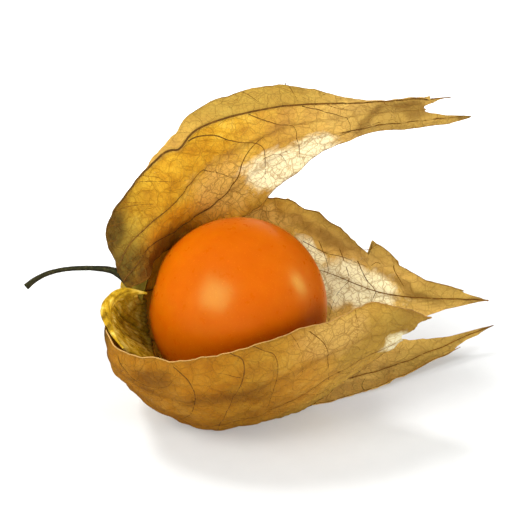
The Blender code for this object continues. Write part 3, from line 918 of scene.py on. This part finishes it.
def make_veins(sheet):
    """Main ribs, bold veins and side veins, as thin cords that stand out of the sheet."""
    vertices, faces, darkness = [], [], []

    def add(panel, spots, thick, thin, dark, fineness=7, both=True):
        path, ups = vein_path(sheet, panel, spots, fineness)
        share = np.linspace(0, 1, len(path))
        radii = thick + (thin - thick) * share
        before = len(vertices)
        if panel != BACK or not both:
            tube(path + ups * VEIN_RAISED, radii, VEIN_SIDES, vertices, faces, 0.9, ups)
        if panel in (BACK, ROOF) and both:
            tube(path - ups * VEIN_RAISED, radii, VEIN_SIDES, vertices, faces, 0.9, ups)
        made_now = range(len(vertices) - before)
        darkness.extend([dark * (1 - 0.4 * (k // VEIN_SIDES) / len(path)) for k in made_now])

    for panel, rib, low, high, radius, dark in MAIN_VEINS:
        stations = np.linspace(low, high, int(abs(high - low) * 3) + 2)
        add(panel, [(rib, s) for s in stations], radius, radius * 0.45, dark, 4)
    for panel, radius, dark, spots in BOLD_VEINS:
        add(panel, spots, radius, radius * 0.4, dark)
    chance = random.Random(7)
    for panel, rib, side, low, high in SIDE_VEINS:
        station = low
        while station < high:
            reach = chance.uniform(0.6, 0.95) * side
            climb = chance.uniform(0.55, 0.95)
            bend = chance.uniform(-0.08, 0.08)
            spots = [
                (rib, station),
                (rib + reach * 0.35, station + climb * 0.3 + bend),
                (rib + reach * 0.7, station + climb * 0.66 + chance.uniform(-0.06, 0.06)),
                (rib + reach, min(station + climb, 7.9)),
            ]
            add(panel, spots, *SIDE_RADII, 0.0, 7, False)
            for _ in range(2):
                start = chance.uniform(0.3, 0.8)
                base = (rib + reach * start, station + climb * start)
                turn = chance.choice((-1, 1))
                branch = [
                    base,
                    (base[0] + 0.12 * side, base[1] + turn * 0.14),
                    (base[0] + chance.uniform(0.15, 0.3) * side, base[1] + turn * chance.uniform(0.2, 0.4)),
                ]
                add(panel, branch, *BRANCH_RADII, 0.0, 4, False)
            station += chance.uniform(0.5, 0.85)
    tube(HAIR_PATH, (0.08, 0.06, 0.03), VEIN_SIDES, vertices, faces)
    darkness.extend([0.7] * (len(vertices) - len(darkness)))
    made, used = mesh_object("husk_veins", place(np.array(vertices)), faces, vein_material())
    add_attribute(made.data, "dark", np.array(darkness)[used])
    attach(made, "root")


# The rolled rim near the stem.
ROLL_PATH = (
    (-9.9, 1.6, 3.5), (-11.2, 1.75, 3.5), (-12.4, 1.6, 3.6), (-13.5, 1.1, 4.0), (-14.2, 0.1, 4.8),
    (-14.2, -0.9, 5.8), (-13.8, -2.0, 7.0), (-13.1, -3.2, 8.1), (-12.2, -4.3, 9.0),
)
ROLL_STRANDS = 6
# The strands that fan out inside the lobe: where along the roll the first and the last start, and the curve
# by the berry where they end.
FAN_START = (1.2, 6.6)
FAN_END = (
    (-10.3, 0.8, -1.0), (-10.3, -1.0, -2.2), (-10.0, -2.8, -2.0),
    (-9.5, -4.4, -0.5), (-9.2, -5.4, 2.4), (-8.6, -6.4, 4.2),
)
FAN_STRANDS = 17
TUBE_SIDES = 8


def make_roll():
    """The rolled rim round the stem's end of the front lobe, and the strands that fan out inside it."""
    vertices, faces = [], []
    steps = np.linspace(0, len(ROLL_PATH) - 1, 60)
    middle = catmull_rom(ROLL_PATH, steps)
    share = steps / steps[-1]
    along = np.gradient(middle, axis=0)
    along /= np.linalg.norm(along, axis=1, keepdims=True)
    side = np.cross(along, (0.0, 1.0, 0.0))
    side /= np.linalg.norm(side, axis=1, keepdims=True)
    other = np.cross(side, along)
    swell = (0.2 + 0.8 * smooth(share, 0.0, 0.3)) * (1 - 0.85 * smooth(share, 0.5, 1.0))
    for strand in range(ROLL_STRANDS):
        turn = 2 * math.pi * strand / ROLL_STRANDS + 1.6 * share
        offset = np.cos(turn)[:, None] * side + np.sin(turn)[:, None] * other
        line = middle + offset * (0.36 * swell)[:, None]
        tube(line, 0.28 * swell + 0.02, TUBE_SIDES, vertices, faces)
    chance = random.Random(11)
    for strand in range(FAN_STRANDS):
        spread = strand / (FAN_STRANDS - 1)
        start = catmull_rom(ROLL_PATH, np.array([FAN_START[0] + (FAN_START[1] - FAN_START[0]) * spread]))[0]
        end = catmull_rom(FAN_END, np.array([(len(FAN_END) - 1.001) * spread]))[0]
        start = start + np.array([0.25, -0.3, -0.1])
        sag = np.array([-0.5, -0.7, -0.2]) * (0.7 + chance.uniform(-0.25, 0.25))
        middles = [start + (end - start) * share + sag * (1 - abs(2 * share - 0.9)) for share in (0.35, 0.68)]
        path = catmull_rom([start, *middles, end], np.linspace(0, 3, 22))
        thick = chance.uniform(0.2, 0.34)
        radii = thick * (0.75 + 0.5 * np.sin(np.linspace(0.3, 2.6, 22)))
        tube(path, radii, TUBE_SIDES, vertices, faces, 0.8)
    made, _ = mesh_object("husk_roll", place(np.array(vertices)), faces, satin_material())
    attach(made, "root")


# ---- the berry and the stem


def make_berry():
    """The berry, a little flattened and uneven, with a dimple at the stem."""
    pole = np.array(BERRY_POLE)
    pole = pole / np.linalg.norm(pole)
    side = np.cross(pole, (0.0, 0.0, 1.0))
    side /= np.linalg.norm(side)
    other = np.cross(pole, side)
    rings, sides = BERRY_RINGS, BERRY_SIDES
    (deep, half), (far_deep, far_half) = STEM_DIMPLE, FAR_DIMPLE
    vertices, faces = [], []
    for ring in range(1, rings):
        turn = math.pi * ring / rings
        for step in range(sides):
            round_turn = 2 * math.pi * step / sides
            out = math.sin(turn) * (math.cos(round_turn) * side + math.sin(round_turn) * other)
            direction = out + math.cos(turn) * pole
            dimple = deep * math.exp(-((turn / half) ** 2))
            dimple += far_deep * math.exp(-(((math.pi - turn) / far_half) ** 2))
            swell = 0.07 * fbm(direction * 10, 9.0, 2) + 0.03 * math.cos(round_turn * 2) * math.sin(turn)
            radius = BERRY_RADIUS - dimple + swell
            vertices.append(radius * out + math.cos(turn) * pole * radius * BERRY_SQUASH)
    for ring in range(rings - 2):
        for step in range(sides):
            a, b = ring * sides + step, ring * sides + (step + 1) % sides
            faces.append((a, a + sides, b + sides, b))
    vertices.append(pole * (BERRY_RADIUS * BERRY_SQUASH - 0.62))
    vertices.append(-pole * (BERRY_RADIUS * BERRY_SQUASH - 0.16))
    last = (rings - 2) * sides
    for step in range(sides):
        following = (step + 1) % sides
        faces.append((step, following, len(vertices) - 2))
        faces.append((last + following, last + step, len(vertices) - 1))
    made, _ = mesh_object("berry_skin", place(np.array(vertices)), faces, berry_material())
    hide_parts("berry")
    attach(made, "root")


def make_stem():
    """The dry stalk, which widens into the seat that holds the berry."""
    steps = np.linspace(0, len(STEM_PATH) - 1, STEM_RINGS)
    path = catmull_rom(STEM_PATH, steps)
    radii = np.interp(steps, range(len(STEM_RADII)), STEM_RADII)
    vertices, faces = [], []
    tube(path, radii, STEM_SIDES, vertices, faces)
    vertices = np.array(vertices)
    centres = np.repeat(path, STEM_SIDES, axis=0)
    bumps = np.array([fbm(p, 0.8, 3) for p in vertices])
    ridges = np.tile(np.cos(np.arange(STEM_SIDES) / STEM_SIDES * 2 * math.pi * STEM_RIDGES), len(path))
    grow = 1 + 0.1 * bumps + 0.06 * ridges
    vertices = centres + (vertices - centres) * grow[:, None]
    made, used = mesh_object("stem_bark", place(vertices), faces, stem_material())
    seat = np.repeat(1 - smooth(steps, 1.2, 3.0), STEM_SIDES)
    add_attribute(made.data, "seat", seat[used])
    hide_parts("stem")
    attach(made, "root")


# ---- the stage

# What the camera and the lamps look at, and the camera's distance, lens and shift.
AIM = place((0.0, 0.0, 0.0))
CAMERA_AWAY = 0.25
LENS = 155.4
SHIFT = (0.0458, 0.0878)


# The lamps: name, direction in the husk's own frame, distance and size in metres, power, colour, and whether
# only reflections see it. The last two are green, not plain white: they colour the berry's highlights.
LAMPS = (
    ("light_key", (-0.6, 0.34, 0.72), 0.55, (0.25, 0.25), 2.2, (1.0, 0.98, 0.94), False),
    ("light_top", (-0.5, 0.95, 0.26), 0.6, (0.16, 0.16), 2.5, (1.0, 0.99, 0.97), False),
    ("light_right", (0.85, 0.0, 0.5), 0.55, (0.2, 0.2), 1.7, (1.0, 0.97, 0.92), False),
    ("light_front", (0.1, -0.3, 0.95), 0.55, (0.3, 0.3), 1.1, (1.0, 0.98, 0.94), False),
    ("gloss_left", (-0.48, 0.28, 0.83), 0.45, (0.32, 0.26), 5.5, (0.35, 1.0, 0.28), True),
    ("gloss_right", (0.93, 0.36, -0.05), 0.4, (0.06, 0.14), 0.8, (0.6, 1.0, 0.25), True),
)


def area_light(name, direction, distance, size, power, colour, gloss):
    """A soft rectangular light on the berry. Only reflections see a gloss light, and none sees the others."""
    light = bpy.data.lights.new(name, "AREA")
    light.shape = "RECTANGLE"
    light.size, light.size_y = size
    light.energy = power
    light.color = colour
    made = bpy.data.objects.new(name, light)
    bpy.context.scene.collection.objects.link(made)
    way = place(np.array(direction)) - place((0.0, 0.0, 0.0))
    way = way / np.linalg.norm(way)
    made.visible_diffuse = not gloss
    made.visible_transmission = not gloss
    made.visible_glossy = gloss
    made.location = AIM + way * distance
    made.rotation_mode = "QUATERNION"
    made.rotation_quaternion = Vector(way).to_track_quat("Z", "Y")


def make_stage():
    """The floor and white surroundings, both hidden from reflections, the lamps and the camera."""
    bpy.ops.mesh.primitive_grid_add(x_subdivisions=8, y_subdivisions=8, size=4.0, location=(0.0, 0.0, 0.0))
    floor = bpy.context.object
    floor.name = "floor"
    floor.data.materials.append(floor_material())
    world = bpy.data.worlds.new("studio")
    world.use_nodes = True
    world.node_tree.nodes["Background"].inputs["Color"].default_value = (1.0, 1.0, 1.0, 1.0)
    world.node_tree.nodes["Background"].inputs["Strength"].default_value = 0.6
    bpy.context.scene.world = world
    world.cycles_visibility.glossy = False
    floor.visible_glossy = False
    for lamp in LAMPS:
        area_light(*lamp)
    camera = bpy.data.cameras.new("camera")
    camera.sensor_width = 36.0
    camera.lens = LENS
    camera.shift_x, camera.shift_y = SHIFT
    camera.dof.use_dof = False
    made = bpy.data.objects.new("camera", camera)
    bpy.context.scene.collection.objects.link(made)
    back = Vector((0.0, -math.cos(LEAN), math.sin(LEAN)))
    made.location = Vector(AIM) + back * CAMERA_AWAY
    made.rotation_mode = "QUATERNION"
    made.rotation_quaternion = back.to_track_quat("Z", "Y")
    bpy.context.scene.camera = made
    bpy.context.scene.view_settings.view_transform = "Standard"


husk_sheet = Sheet()
make_husk(husk_sheet)
make_veins(husk_sheet)
make_roll()
make_berry()
make_stem()
make_stage()
